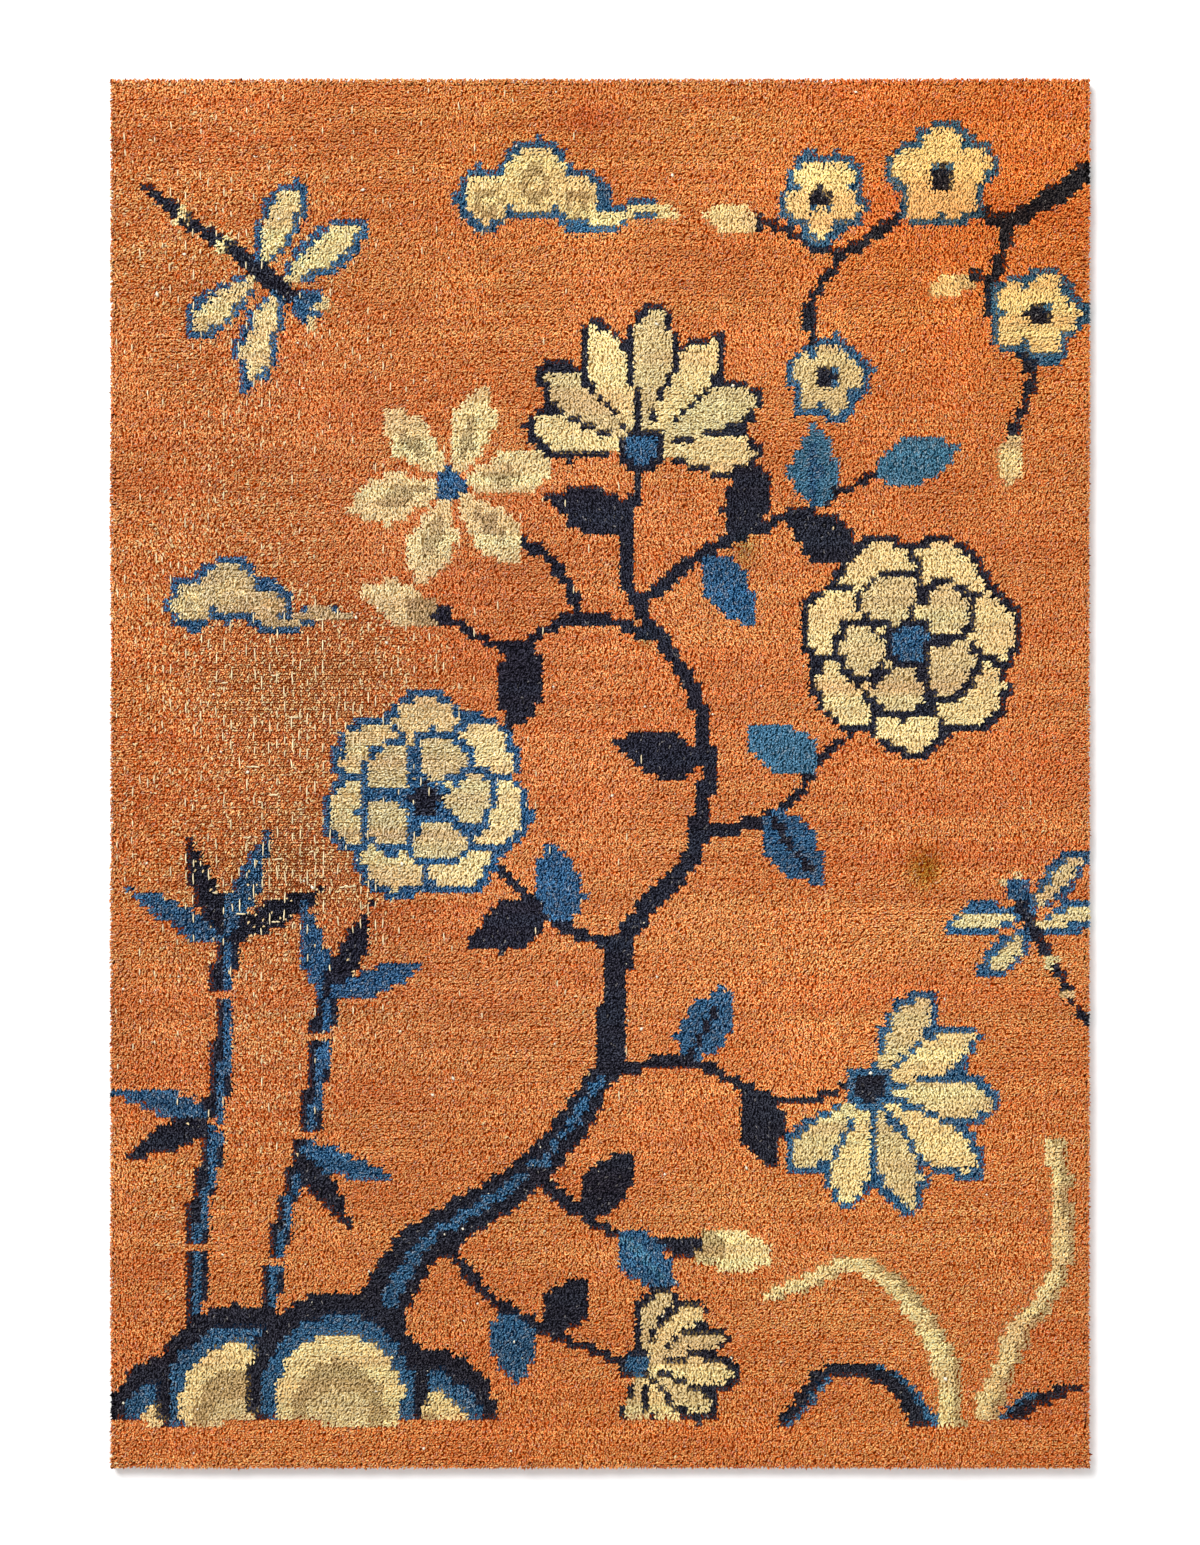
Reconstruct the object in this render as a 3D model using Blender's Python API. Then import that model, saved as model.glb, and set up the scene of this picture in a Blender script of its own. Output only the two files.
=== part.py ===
"""A cut length of a hand-knotted pile rug, lying flat.

The rug is one cloth: a woven cotton ground with rows of wool knots tied into it, whose clipped
ends stand up as the pile. So it is one solid, with the clipped pile as its top, the full
thickness of ground and pile between, and a flat underside that rests on the floor.

Units are metres and +Z is up. The origin is the middle of the underside. +X runs across the
rug, along the rows of knots, and +Y runs along the warps.
"""

import math

import bmesh
import bpy

FOOT = 0.3048
MM = 0.001

# The weave sets the size: so many knots across, and so many rows of them.
KNOT_WIDTH = FOOT / 70
ROW_HEIGHT = 4.022 * MM
KNOTS_ACROSS = 129
ROWS = 198
WIDTH = KNOTS_ACROSS * KNOT_WIDTH
LENGTH = ROWS * ROW_HEIGHT

# Through the cloth: warps, wefts and the knots' backs, then the clipped pile on them.
GROUND = 3.0 * MM
PILE = 7.0 * MM
LEAST_PILE = 1.2 * MM

# The clipped surface is not quite level. One row for each slow swell of the pile.
SWELL_COLUMNS = ("height", "waves_x", "waves_y", "phase")
SWELLS = (
    (0.30 * MM, 1.5, 1.0, 0.4),
    (0.22 * MM, 3.0, -2.0, 2.1),
    (0.14 * MM, 5.5, 4.5, 4.0),
)

# Where feet have worn the pile down. One row for each hollow: its middle, how far it reaches
# each way, and how much of the pile is gone there.
WEAR_COLUMNS = ("x", "y", "reach_x", "reach_y", "depth")
WEAR = (
    (-0.166, 0.050, 0.056, 0.046, 3.2 * MM),
    (-0.182, -0.058, 0.046, 0.034, 3.4 * MM),
    (-0.225, -0.004, 0.080, 0.150, 1.5 * MM),
    (-0.215, 0.310, 0.090, 0.090, 1.0 * MM),
    (-0.190, -0.215, 0.110, 0.100, 0.7 * MM),
)

# The rim from the floor up: height as a share of the cloth's own height there, and how far
# that level stands in from the widest one. The pile leans out a little over the cut ground,
# and its last rows are rounded over.
RIM_COLUMNS = ("share", "inset")
RIM = (
    (0.00, 1.1 * MM),
    (0.30, 1.1 * MM),
    (0.55, 0.3 * MM),
    (0.80, 0.0 * MM),
    (0.94, 1.0 * MM),
)
SHOULDER = 3.4 * MM

# Faces across and along the solid.
CELLS_ACROSS = 32
CELLS_ALONG = 45

WOOL_ORANGE = (0.578, 0.181, 0.054, 1.0)
WOOL_ROUGHNESS = 0.95


def swell_at(x, y):
    """How far the clipped pile stands above or below its mean height."""
    total = 0.0
    for row in SWELLS:
        swell = dict(zip(SWELL_COLUMNS, row))
        turns = swell["waves_x"] * x / WIDTH + swell["waves_y"] * y / LENGTH
        total += swell["height"] * math.sin(2 * math.pi * turns + swell["phase"])
    return total


def wear_at(x, y):
    """How much of the pile is worn away."""
    total = 0.0
    for row in WEAR:
        hollow = dict(zip(WEAR_COLUMNS, row))
        across = (x - hollow["x"]) / hollow["reach_x"]
        along = (y - hollow["y"]) / hollow["reach_y"]
        total += hollow["depth"] * math.exp(-(across**2 + along**2))
    return total


def height_at(x, y):
    """Height of the clipped pile above the floor."""
    pile = PILE + swell_at(x, y) - wear_at(x, y)
    return GROUND + max(pile, LEAST_PILE)


def plan_point(column, row, inset):
    """Where a grid point lies in plan, on a rectangle that stands in from the rug's edge."""
    x = (2 * column / CELLS_ACROSS - 1) * (WIDTH / 2 - inset)
    y = (2 * row / CELLS_ALONG - 1) * (LENGTH / 2 - inset)
    return x, y


def add_level(mesh, cells, share, inset):
    """Adds one point for each grid cell corner in cells, at a share of the cloth's height."""
    points = {}
    for column, row in cells:
        x, y = plan_point(column, row, inset)
        points[column, row] = mesh.verts.new((x, y, share * height_at(x, y)))
    return points


def border_cells():
    """The grid's corners round its border, anticlockwise seen from above."""
    front = [(column, 0) for column in range(CELLS_ACROSS)]
    right = [(CELLS_ACROSS, row) for row in range(CELLS_ALONG)]
    back = [(column, CELLS_ALONG) for column in range(CELLS_ACROSS, 0, -1)]
    left = [(0, row) for row in range(CELLS_ALONG, 0, -1)]
    return front + right + back + left


def all_cells():
    """Every corner of the grid."""
    return [
        (column, row)
        for row in range(CELLS_ALONG + 1)
        for column in range(CELLS_ACROSS + 1)
    ]


def add_sheet(mesh, points, faces_up):
    """Fills a whole level with faces."""
    for row in range(CELLS_ALONG):
        for column in range(CELLS_ACROSS):
            corners = [
                points[column, row],
                points[column + 1, row],
                points[column + 1, row + 1],
                points[column, row + 1],
            ]
            mesh.faces.new(corners if faces_up else corners[::-1])


def add_band(mesh, lower, upper):
    """Joins two levels round the rim."""
    border = border_cells()
    for here, following in zip(border, border[1:] + border[:1]):
        mesh.faces.new((lower[here], lower[following], upper[following], upper[here]))


def wool_material():
    material = bpy.data.materials.new("orange_wool")
    material.use_nodes = True
    shader = material.node_tree.nodes["Principled BSDF"]
    shader.inputs["Base Color"].default_value = WOOL_ORANGE
    shader.inputs["Roughness"].default_value = WOOL_ROUGHNESS
    shader.inputs["Metallic"].default_value = 0.0
    material.diffuse_color = WOOL_ORANGE
    return material


def make_rug():
    """The whole cloth: underside, rim and clipped pile, as one closed body."""
    mesh = bmesh.new()
    rim_levels = [dict(zip(RIM_COLUMNS, row)) for row in RIM]
    underside = add_level(mesh, all_cells(), **rim_levels[0])
    add_sheet(mesh, underside, faces_up=False)

    lower = underside
    for level in rim_levels[1:]:
        upper = add_level(mesh, border_cells(), **level)
        add_band(mesh, lower, upper)
        lower = upper

    clipped_pile = add_level(mesh, all_cells(), share=1.0, inset=SHOULDER)
    add_band(mesh, lower, clipped_pile)
    add_sheet(mesh, clipped_pile, faces_up=True)

    data = bpy.data.meshes.new("rug")
    mesh.to_mesh(data)
    mesh.free()
    data.shade_smooth()
    data.set_sharp_from_angle(angle=math.radians(40))
    data.materials.append(wool_material())
    rug = bpy.data.objects.new("rug", data)
    bpy.context.scene.collection.objects.link(rug)
    return rug


def main():
    for leftover in list(bpy.data.objects):
        bpy.data.objects.remove(leftover)
    make_rug()


main()
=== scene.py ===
"""The looks of a cut length of hand-knotted wool pile rug, partly worn, lying flat.

A weaver's chart gives each knot its yarn. Geometry Nodes set the knots' clipped ends on the
cloth, their backs under it, the cut yarn round its rim, and the cotton that shows where the pile
is worn away. The cloth's size and the height of its pile come from the frame.
"""

import math

import bpy
import numpy as np
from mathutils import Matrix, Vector
from mathutils.bvhtree import BVHTree


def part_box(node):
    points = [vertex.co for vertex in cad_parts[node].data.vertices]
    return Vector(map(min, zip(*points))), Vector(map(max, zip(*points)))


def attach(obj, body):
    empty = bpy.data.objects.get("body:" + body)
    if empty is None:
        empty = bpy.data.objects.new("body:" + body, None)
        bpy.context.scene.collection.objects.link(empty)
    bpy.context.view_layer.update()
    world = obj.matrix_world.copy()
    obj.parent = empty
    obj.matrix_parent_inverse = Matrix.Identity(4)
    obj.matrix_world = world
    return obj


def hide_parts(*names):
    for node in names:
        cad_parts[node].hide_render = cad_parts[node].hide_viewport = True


MM = 0.001

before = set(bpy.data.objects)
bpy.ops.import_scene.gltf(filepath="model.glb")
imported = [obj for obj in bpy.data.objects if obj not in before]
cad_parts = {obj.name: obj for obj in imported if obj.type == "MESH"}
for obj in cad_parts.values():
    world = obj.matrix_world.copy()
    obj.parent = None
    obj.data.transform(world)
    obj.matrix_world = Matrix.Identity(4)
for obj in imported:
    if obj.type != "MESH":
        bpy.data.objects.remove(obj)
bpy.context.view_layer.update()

# The weave: so many knots to a row, one for each square of the chart. A knot's clipped ends open
# into plies, so many across the knot and as many along it.
CLOTH = "rug"
KNOTS = 129
ROWS = 198
SPLIT = 3
LOW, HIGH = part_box(CLOTH)
WIDTH = HIGH.x - LOW.x
LENGTH = HIGH.y - LOW.y
KNOT = WIDTH / KNOTS
ROW = LENGTH / ROWS
GROUND = 3.0 * MM
FULL_PILE = 7.0 * MM
SHOULDER = 4.0 * MM

# -------- colours


def linear(red, green, blue):
    """A colour from its usual 0 to 255 numbers."""
    shares = np.array((red, green, blue)) / 255
    low = shares / 12.92
    high = ((shares + 0.055) / 1.055) ** 2.4
    return np.where(shares <= 0.04045, low, high)


ORANGE, NAVY, BLUE, SKY, CREAM, GOLD, OLIVE = range(7)

# A row for each yarn, in that order: its lit colour on the tips of its fibres, its painted shade
# for down among them, the share of its plies that light has bleached, and how far its clipped
# ends lie under the orange ones, because dark dye has eaten into the wool.
YARNS = (
    (linear(255, 208, 137), linear(205, 80, 0), 0.10, 0.0 * MM),
    (linear(80, 80, 92), linear(18, 17, 27), 0.03, 0.9 * MM),
    (linear(106, 155, 191), linear(8, 53, 90), 0.22, 0.5 * MM),
    (linear(128, 180, 210), linear(30, 84, 112), 0.16, 0.3 * MM),
    (linear(255, 250, 203), linear(243, 200, 126), 0.0, -0.2 * MM),
    (linear(255, 240, 198), linear(214, 178, 112), 0.0, -0.1 * MM),
    (linear(244, 216, 168), linear(176, 141, 82), 0.0, 0.1 * MM),
)
LIT_TIP_COLOURS, PAINTED_SHADE_COLOURS, BLEACHED, SUNK = (np.array(column) for column in zip(*YARNS))
BLEACHED_TIP = linear(214, 206, 196)
COTTON = linear(236, 218, 176)
LINT = linear(246, 238, 214)
WHITE_FLOOR = linear(250, 250, 250)


def smooth_noise(x, y, size, seed):
    """Smooth random numbers from -1 to 1 at these places, in lumps of about this size."""
    side = 64
    lattice = np.random.default_rng(seed).uniform(-1, 1, (side, side))
    place = np.stack([x, y]) / size + side / 2
    corner = np.floor(place).astype(int)
    share = place - corner
    right, up = share**2 * (3 - 2 * share)
    column, row = corner % side
    next_column, next_row = (corner + 1) % side
    below = lattice[row, column] * (1 - right) + lattice[row, next_column] * right
    above = lattice[next_row, column] * (1 - right) + lattice[next_row, next_column] * right
    return below * (1 - up) + above * up


def stacked(*values):
    """Numbers side by side, one row to a place. A single number is the same for every place."""
    return np.column_stack(np.broadcast_arrays(*values))


def squares(split=1):
    """The chart's squares, split so many times both ways: each one's column, row and middle."""
    columns, rows = np.meshgrid(range(split * KNOTS), range(split * ROWS))
    column, row = columns.ravel(), rows.ravel()
    x = (column + 0.5) * KNOT / split - WIDTH / 2
    y = (row + 0.5) * ROW / split - LENGTH / 2
    return column, row, x, y


# -------- the weaver's chart, in millimetres from the rug's middle

OUTLINE = 5.0
TWIG = 5.0
LEAF_WIDTH = 28.0
LANCE_WIDTH = 15.5


def smooth_line(points):
    """A smooth line through a few points."""
    steps = 8
    given = np.array(points, float)
    ends = np.vstack([2 * given[0] - given[1], given, 2 * given[-1] - given[-2]])
    share = np.arange(steps)[:, None] / steps
    stretches = []
    for before, start, stop, after in zip(ends, ends[1:], ends[2:], ends[3:]):
        pull = stop - before
        bend = 2 * before - 5 * start + 4 * stop - after
        twist = 3 * start - before - 3 * stop + after
        stretches.append(start + (pull * share + bend * share**2 + twist * share**3) / 2)
    return np.vstack([*stretches, given[-1:]])


def towards(angle):
    """The direction at an angle in degrees, anticlockwise from +X."""
    turn = math.radians(angle)
    return np.array((math.cos(turn), math.sin(turn)))


class Chart:
    """Which yarn each knot is tied in, drawn shape over shape."""

    def __init__(self):
        x, y = (places / MM for places in squares()[2:])

        def waver(seed):
            """How far a line that is tied by hand strays."""
            return 1.6 * smooth_noise(x, y, 21, seed) + 0.7 * smooth_noise(x, y, 8, seed + 1)

        self.x, self.y = x + waver(1), y + waver(3)
        self.yarn = np.full(len(x), ORANGE)

    def disc(self, yarn, middle, radius):
        self.yarn[np.hypot(self.x - middle[0], self.y - middle[1]) < radius] = yarn

    def blade(self, yarn, foot, angle, length, width, widest=0.5, fullness=1.0, grown=0.0):
        """A leaf or petal from its foot, widest at a share of its length."""
        ahead = towards(angle)
        x, y = self.x - foot[0], self.y - foot[1]
        along = (x * ahead[0] + y * ahead[1] + grown) / (length + 2 * grown)
        along = np.clip(along, 0, 1)
        aside = np.abs(y * ahead[0] - x * ahead[1])
        swelling = np.sin(np.pi * along ** (math.log(0.5) / math.log(widest))) ** fullness
        self.yarn[aside < (width / 2 + grown) * swelling] = yarn

    def stem(self, yarn, points, thick, thin=None):
        """A line through points, from its thick end to its thin one."""
        line = smooth_line(points)
        radii = np.linspace(thick, thick if thin is None else thin, len(line)) / 2
        for start, stop, near, far in zip(line, line[1:], radii, radii[1:]):
            step = stop - start
            x, y = self.x - start[0], self.y - start[1]
            share = np.clip((x * step[0] + y * step[1]) / (step @ step), 0, 1)
            away = np.hypot(x - share * step[0], y - share * step[1])
            self.yarn[away < near + (far - near) * share] = yarn


chart = Chart()


def draw_petal(foot, angle, length, width, widest, fullness, outline, fill):
    """A petal in its own yarn over a larger one in its outline's."""
    for yarn, grown in ((outline, OUTLINE / 2), (fill, -OUTLINE / 2)):
        chart.blade(yarn, foot, angle, length, width, widest, fullness, grown)


def draw_round_flower(middle, size, turn, outline, heart):
    """A full flower seen from the front: two rings of broad petals."""
    rings = ((7, 0.46, 0.38, 0, CREAM), (5, 0.28, 0.30, 30, GOLD))
    for petals, reach, width, first, fill in rings:
        for k in range(petals):
            angle = turn + first + 360 * k / petals
            foot = middle + 0.07 * size * towards(angle)
            draw_petal(foot, angle, reach * size, width * size, 0.66, 0.6, outline, fill)
    chart.disc(outline, middle, 0.12 * size)
    chart.disc(heart, middle, 0.085 * size)


def draw_cup_flower(foot, size, facing, spread, outline, outer, inner, heart):
    """A flower from the side, its petals fanned out from a cup with the middle ones in front."""
    for step in (-3, 3, -2, 2, -1, 1, 0):
        angle = facing + spread * step / 6
        length = size * (0.80 - 0.16 * abs(step) / 3)
        fill = inner if step % 2 else outer
        draw_petal(foot, angle, length, 0.26 * size, 0.68, 0.8, outline, fill)
    chart.disc(outline, foot, 0.13 * size)
    chart.disc(heart, foot, 0.085 * size)


def draw_star_flower(middle, size, turn):
    """Six long petals with no outline, each shaded down its middle."""
    angles = [turn + 60 * k for k in range(6)]
    for angle in angles:
        chart.blade(CREAM, middle, angle, size / 2, 0.21 * size, 0.6, 0.9)
    for angle in angles:
        foot = middle + 0.10 * size * towards(angle)
        chart.blade(OLIVE, foot, angle, 0.26 * size, 0.07 * size, 0.6)
    chart.disc(BLUE, middle, 0.075 * size)


def draw_blossom(middle, size, turn, fill):
    """A small flower of five round petals."""
    for yarn, grown in ((BLUE, OUTLINE / 2), (fill, -OUTLINE / 2)):
        for k in range(5):
            petal = middle + 0.27 * size * towards(turn + 72 * k)
            chart.disc(yarn, petal, 0.215 * size + grown)
    chart.disc(NAVY, middle, 0.12 * size)


def draw_leaf(foot, angle, length, width, yarn, rib=None):
    chart.blade(yarn, foot, angle, length, width, widest=0.42, fullness=0.9)
    if rib is not None:
        chart.blade(rib, foot, angle, 0.8 * length, OUTLINE, fullness=0.3)


def draw_bud(foot, angle, size, sepals):
    chart.blade(CREAM, foot, angle, size, 0.48 * size, fullness=0.8)
    chart.blade(sepals, foot, angle, 0.42 * size, 0.36 * size, fullness=0.6)
    chart.disc(NAVY, foot, 0.13 * size)


def draw_stalk(points, width):
    """A jointed bamboo stalk with a light side."""
    chart.stem(NAVY, points, width)
    chart.stem(BLUE, [(x + 0.17 * width, y) for x, y in points], 0.42 * width)
    line = smooth_line(points)
    joint = 7
    for k in range(joint, len(line) - joint // 2, joint):
        ahead = line[k + 1] - line[k]
        aside = np.array((-ahead[1], ahead[0])) / np.hypot(*ahead) * 0.8 * width
        chart.stem(ORANGE, [line[k] - aside, line[k] + aside], 4.2)


def draw_spray(foot, angles, length):
    """Lance leaves from one joint, light and dark by turns."""
    for k, angle in enumerate(angles):
        draw_leaf(foot, angle, length, LANCE_WIDTH, NAVY if k % 2 else BLUE)


def draw_reed(points, yarn, shade, side=1):
    """A long leaf with a darker edge along one side."""
    thick, thin = 10.5, 6
    chart.stem(shade, [(x + 5 * side, y) for x, y in points], thick, thin)
    chart.stem(yarn, points, thick, thin)


def draw_dragonfly(head, angle, size, wing):
    """Two pairs of long wings across a thin body."""
    back = size * towards(angle + 180)
    for share, spread, length in ((0.16, 74, 0.52), (0.27, 106, 0.46)):
        for turn in (angle - spread, angle + spread):
            root = head + share * back
            draw_petal(root, turn, length * size, 0.17 * size, 0.6, 0.7, BLUE, wing)
    chart.stem(NAVY, [head, head + back / 2, head + back], 0.10 * size, 0.055 * size)
    aside = 0.05 * size * towards(angle + 90)
    for share in (0.52, 0.76):
        ring = head + share * back
        chart.stem(wing, [ring - aside, ring + aside], 3.6)
    chart.disc(BLUE, head, 0.085 * size)
    for turn in (angle - 38, angle + 38):
        chart.disc(wing, head + 0.085 * size * towards(turn), 0.035 * size)


def draw_cloud(middle, size, fill, shade):
    """Three curled lobes on a trailing band."""
    tail = size * np.array(((0.30, -0.10), (0.55, -0.16), (0.80, -0.06), (1.05, -0.12)))
    lobes = size * np.array(((-0.30, 0.00, 0.20), (0.02, 0.12, 0.25), (0.33, 0.00, 0.19)))
    curl_drop = (0, 0.03 * size)
    for yarn, grown in ((BLUE, OUTLINE / 2), (fill, -OUTLINE / 2)):
        chart.stem(yarn, middle + tail, 0.16 * size + 2 * grown, OUTLINE)
        for *place, radius in lobes:
            chart.disc(yarn, np.add(middle, place), radius + grown)
    for *place, radius in lobes:
        curl = np.add(middle, place) - curl_drop
        chart.disc(shade, curl, 0.50 * radius)
        chart.disc(fill, curl, 0.22 * radius)


def draw_rocks():
    """Overlapping banded rocks with a level foot."""
    rocks = ((-242, -376, 42), (-100, -368, 40), (-206, -354, 50), (-150, -350, 52))
    bands = ((0, NAVY), (8, BLUE), (15, CREAM), (24, OLIVE), (33, GOLD))
    for x, y, radius in rocks:
        for drawn_in, yarn in bands:
            chart.disc(yarn, (x, y - 0.6 * drawn_in), radius - drawn_in)
    foot = 3 * np.sin(0.06 * chart.x) - 372
    chart.yarn[chart.y < foot] = ORANGE


BRANCH = ((-132, -318), (-100, -268), (-40, -228), (2, -170), (12, -100), (55, -40), (56, 40))
BRANCH += ((16, 108), (24, 176))

# One row for each twig: how thick it starts, and the points that it passes.
TWIGS = (
    (13, ((290, 352), (235, 318), (190, 330), (140, 300), (92, 316))),
    (8, ((235, 318), (224, 270), (246, 232), (238, 196))),
    (6, ((140, 300), (118, 262), (132, 236))),
    (7.5, ((2, -170), (50, -166), (100, -186), (150, -178))),
    (7.5, ((12, -100), (-30, -82), (-66, -44))),
    (7.5, ((55, -36), (100, -24), (132, 12), (160, 40))),
    (7.5, ((38, 76), (-12, 88), (-54, 72), (-86, 88))),
    (7.5, ((-40, -228), (4, -262), (46, -270))),
    (7.5, ((-10, 88), (-30, 122), (-66, 142))),
    (7.5, ((24, 100), (62, 128), (106, 146), (156, 172))),
    (7.5, ((-92, -262), (-62, -300), (-24, -322), (16, -336))),
)

# One row for each leaf: its foot's x and y, its angle, its length, its yarn and a rib's.
LEAVES = (
    (50, -166, 64, 50, BLUE, NAVY),
    (86, -180, -76, 50, NAVY),
    (-16, -86, 108, 50, BLUE),
    (-32, -78, 206, 50, NAVY),
    (94, -24, -50, 54, BLUE, NAVY),
    (58, 6, 166, 54, NAVY),
    (126, 4, 154, 50, SKY),
    (-40, 76, -102, 54, NAVY),
    (60, 126, -58, 52, BLUE),
    (74, 134, 66, 50, NAVY),
    (110, 148, -34, 50, NAVY),
    (122, 154, 88, 46, SKY, BLUE),
    (156, 172, 16, 56, SKY),
    (20, 142, 160, 54, NAVY),
    (10, -262, -44, 46, BLUE, SKY),
    (-12, -250, 44, 46, NAVY),
    (-52, -308, -84, 44, BLUE),
    (-30, -320, 56, 40, NAVY),
)


def draw_chart():
    """Flowering sprays, bamboo, rocks, reeds and dragonflies over an open field."""
    draw_stalk(((-234, -345), (-230, -260), (-219, -180), (-215, -95)), 12.5)
    draw_stalk(((-194, -345), (-184, -270), (-164, -190), (-158, -130)), 11.5)
    draw_spray((-215, -96), (152, 112, 70, 28), 66)
    draw_spray((-222, -196), (166, 206), 60)
    draw_spray((-158, -130), (104, 62, 20), 62)
    draw_spray((-176, -216), (-16, -52), 60)

    chart.stem(NAVY, BRANCH[:5], 30, 12)
    chart.stem(NAVY, BRANCH[3:], 13, 6)
    chart.stem(BLUE, [(x + 4, y + 3) for x, y in BRANCH[:4]], 8, 4)
    for thick, points in TWIGS:
        chart.stem(NAVY, points, thick, TWIG)
    for x, y, angle, length, *yarns in LEAVES:
        draw_leaf((x, y), angle, length, LEAF_WIDTH, *yarns)

    draw_star_flower((-85, 165), 122, 12)
    draw_round_flower((178, 74), 120, 12, NAVY, BLUE)
    draw_round_flower((-100, -14), 112, 40, BLUE, NAVY)
    draw_cup_flower((24, 186), 106, 84, 170, NAVY, GOLD, CREAM, BLUE)
    draw_cup_flower((154, -180), 100, -38, 190, BLUE, CREAM, GOLD, NAVY)
    draw_cup_flower((20, -338), 74, -8, 150, NAVY, CREAM, GOLD, BLUE)
    draw_bud((50, -271), -6, 52, OLIVE)
    draw_bud((-90, 90), 162, 50, OLIVE)
    draw_blossom((196, 342), 62, 20, CREAM)
    draw_blossom((128, 330), 52, 50, CREAM)
    draw_blossom((250, 262), 56, 0, CREAM)
    draw_blossom((130, 226), 48, 10, GOLD)
    draw_bud((92, 316), 172, 32, GOLD)
    draw_bud((238, 196), -96, 32, GOLD)
    draw_bud((216, 286), 205, 32, GOLD)

    draw_reed(((202, -392), (192, -330), (150, -282), (96, -300)), CREAM, OLIVE)
    draw_reed(((212, -392), (232, -330), (262, -280), (258, -210)), CREAM, OLIVE)
    draw_reed(((220, -392), (246, -362), (272, -352)), NAVY, BLUE, side=-1)
    draw_reed(((194, -392), (168, -350), (128, -345), (96, -384)), NAVY, BLUE)
    draw_dragonfly((-168, 268), -36, 118, CREAM)
    draw_dragonfly((238, -66), 118, 88, GOLD)
    draw_cloud((-40, 330), 82, CREAM, OLIVE)
    draw_cloud((-214, 98), 66, GOLD, CREAM)
    draw_rocks()
    return chart.yarn.reshape(ROWS, KNOTS)


# -------- the cloth's surface

cloth_surface = BVHTree.FromObject(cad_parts[CLOTH], bpy.context.evaluated_depsgraph_get())
DOWN = Vector((0, 0, -1))
WELL_ABOVE = HIGH.z + 50 * MM


def cloth_height(x, y):
    """Height of the clipped pile at each of these places."""
    heights = np.zeros(len(x))
    for k, (across, along) in enumerate(zip(x.tolist(), y.tolist())):
        place = cloth_surface.ray_cast(Vector((across, along, WELL_ABOVE)), DOWN)[0]
        heights[k] = GROUND if place is None else place.z
    return heights


def kept_inside(x, y, margin):
    """These places, with those nearer than a margin to the rug's edge brought in to it."""
    x = np.clip(x, margin - WIDTH / 2, WIDTH / 2 - margin)
    y = np.clip(y, margin - LENGTH / 2, LENGTH / 2 - margin)
    return x, y


def wear_at(x, y):
    """From 0, full pile, to 1, worn nearly to the ground."""
    nearly_full = FULL_PILE - 0.4 * MM
    nearly_bare = 2.2 * MM
    pile = cloth_height(*kept_inside(x, y, SHOULDER)) - GROUND
    return np.clip((nearly_full - pile) / (nearly_full - nearly_bare), 0, 1)


# Where light, feet and spills have changed the wool. One row for each patch: its middle and how
# far it reaches, in millimetres, and what it does to red, green and blue there.
FADES = (
    (235, 335, 120, 120, 1.04, 0.81, 0.57),
    (70, 290, 120, 120, 1.04, 1.07, 1.10),
    (-20, 370, 120, 80, 0.98, 0.96, 0.88),
    (-170, 20, 110, 150, 0.97, 0.88, 0.90),
    (-200, 200, 100, 100, 0.94, 0.98, 1.05),
    (-80, 130, 130, 70, 0.92, 0.92, 0.98),
    (-160, -130, 110, 80, 0.92, 1.00, 1.10),
    (0, -20, 120, 160, 1.05, 1.10, 1.20),
    (220, -40, 100, 160, 1.06, 1.04, 1.06),
    (80, -130, 120, 100, 1.10, 1.16, 1.16),
    (190, -230, 110, 110, 1.06, 1.10, 1.05),
    (50, -390, 300, 50, 1.00, 0.94, 0.86),
    (-6, 377, 18, 13, 0.86, 0.66, 0.66),
    (186, -54, 8, 10, 0.52, 0.56, 0.22),
    (83, 128, 6, 10, 0.62, 0.80, 0.72),
    (26, 77, 4, 4, 0.55, 0.78, 0.80),
)


def fade_at(x, y):
    """What the patches of fading and stain do to the colour, for each place."""
    change = np.zeros((len(x), 3))
    for middle_x, middle_y, reach_x, reach_y, *colour in FADES:
        across = (x / MM - middle_x) / reach_x
        along = (y / MM - middle_y) / reach_y
        change += np.outer(np.exp(-(across**2 + along**2)), np.log(colour))
    return np.exp(change)


# -------- nodes


class Socket:
    """One output of a node. Arithmetic on it adds Math nodes."""

    def __init__(self, nodes, output):
        self.nodes = nodes
        self.output = output

    def maths(self, operation, first, second=0.0):
        return self.nodes.add("ShaderNodeMath", {"operation": operation}, {0: first, 1: second})

    def __add__(self, other):
        return self.maths("ADD", self, other)

    __radd__ = __add__

    def __sub__(self, other):
        return self.maths("SUBTRACT", self, other)

    def __rsub__(self, other):
        return self.maths("SUBTRACT", other, self)

    def __mul__(self, other):
        return self.maths("MULTIPLY", self, other)

    __rmul__ = __mul__

    def __pow__(self, other):
        return self.maths("POWER", self, other)

    def sine(self):
        return self.maths("SINE", self)

    def above_nothing(self):
        return self.maths("MAXIMUM", self, 0.0)


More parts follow.
